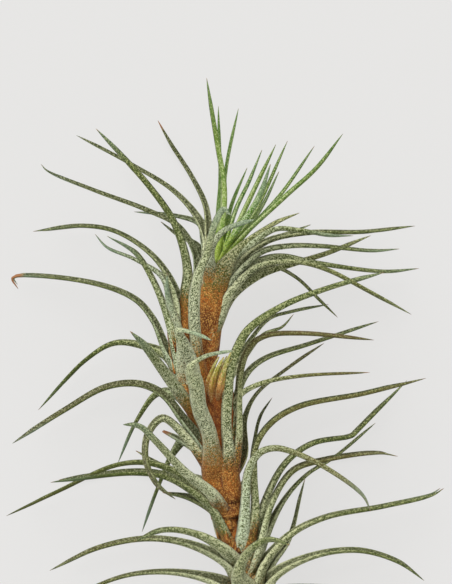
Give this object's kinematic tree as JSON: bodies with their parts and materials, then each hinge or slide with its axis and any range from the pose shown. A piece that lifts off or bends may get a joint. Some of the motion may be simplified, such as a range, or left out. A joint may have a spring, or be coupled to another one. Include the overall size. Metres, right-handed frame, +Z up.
{
  "type": "air plant",
  "caption": "Cut leafy stem of an air plant with thread-like arching leaves on three shoots, lying on a surface.",
  "frame": {"origin": "on the surface that the plant lies on, under the middle of its bounding box", "axes": "+Z up from the surface, +Y along the stem from its cut end to the tall shoot's tip, +X to the right seen from above"},
  "size_m": [0.0876, 0.1132, 0.057],
  "materials": {
    "silver_green_leaf": "matte, speckled with silvery scales",
    "heart_leaf": "satin young leaf",
    "tuft_leaf": "satin young leaf, tan at the base",
    "orange_brown_sheath": "matte, dry and papery",
    "bare_stem": "matte, ringed by old leaf scars"
  },
  "bodies": {
    "root": {"tall_shoot": "silver_green_leaf", "left_shoot": "silver_green_leaf", "short_shoot": "silver_green_leaf", "tall_heart": "heart_leaf", "short_heart": "tuft_leaf"}
  },
  "joints": []
}
